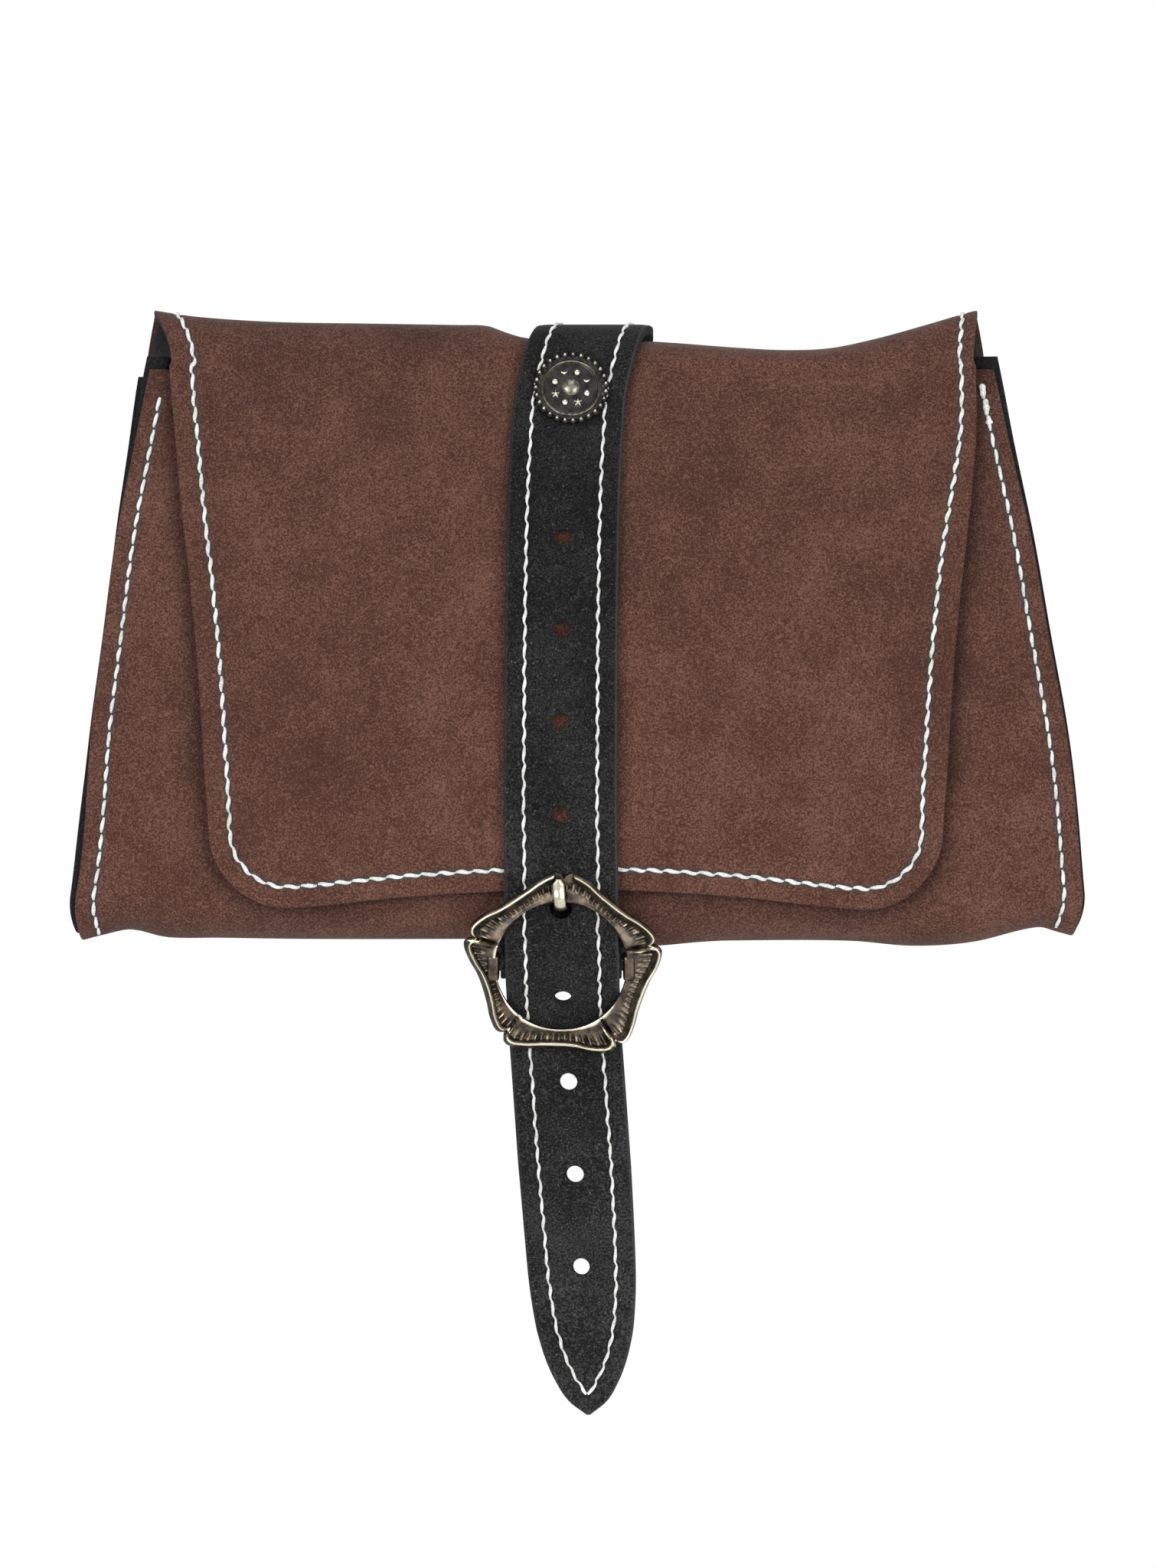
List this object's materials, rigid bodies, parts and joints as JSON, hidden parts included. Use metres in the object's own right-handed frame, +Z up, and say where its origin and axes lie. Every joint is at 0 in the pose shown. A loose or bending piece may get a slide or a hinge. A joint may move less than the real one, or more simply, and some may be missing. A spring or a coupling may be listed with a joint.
{
  "type": "medieval belt pouch",
  "caption": "Brown suede flap pouch on a black belt strap that wraps round it and closes through a petalled ring buckle, with a beaded concho.",
  "frame": {"origin": "top of the belt's way behind the strap, midway between the bag's back and the strap, where the belt carries the pouch", "axes": "+Z up as worn, -Y out of the front, +X to the right as seen from the front"},
  "size_m": [0.274, 0.062, 0.3002],
  "materials": {
    "brown_suede": "napped suede, matt",
    "black_lining": "smooth flesh side, matt",
    "black_suede": "napped suede, matt",
    "strap_suede": "napped suede, matt, with pale thread",
    "aged_brass": "antique brass, dark in the hollows and bright on the edges"
  },
  "bodies": {
    "root": {"body": "brown_suede", "flap_lining": "black_lining", "gusset_left": "black_suede", "gusset_right": "black_suede", "strap": "strap_suede", "buckle_strap": "strap_suede", "buckle_frame": "aged_brass", "buckle_tongue": "aged_brass", "concho": "aged_brass", "back_rivet": "aged_brass"}
  },
  "joints": []
}
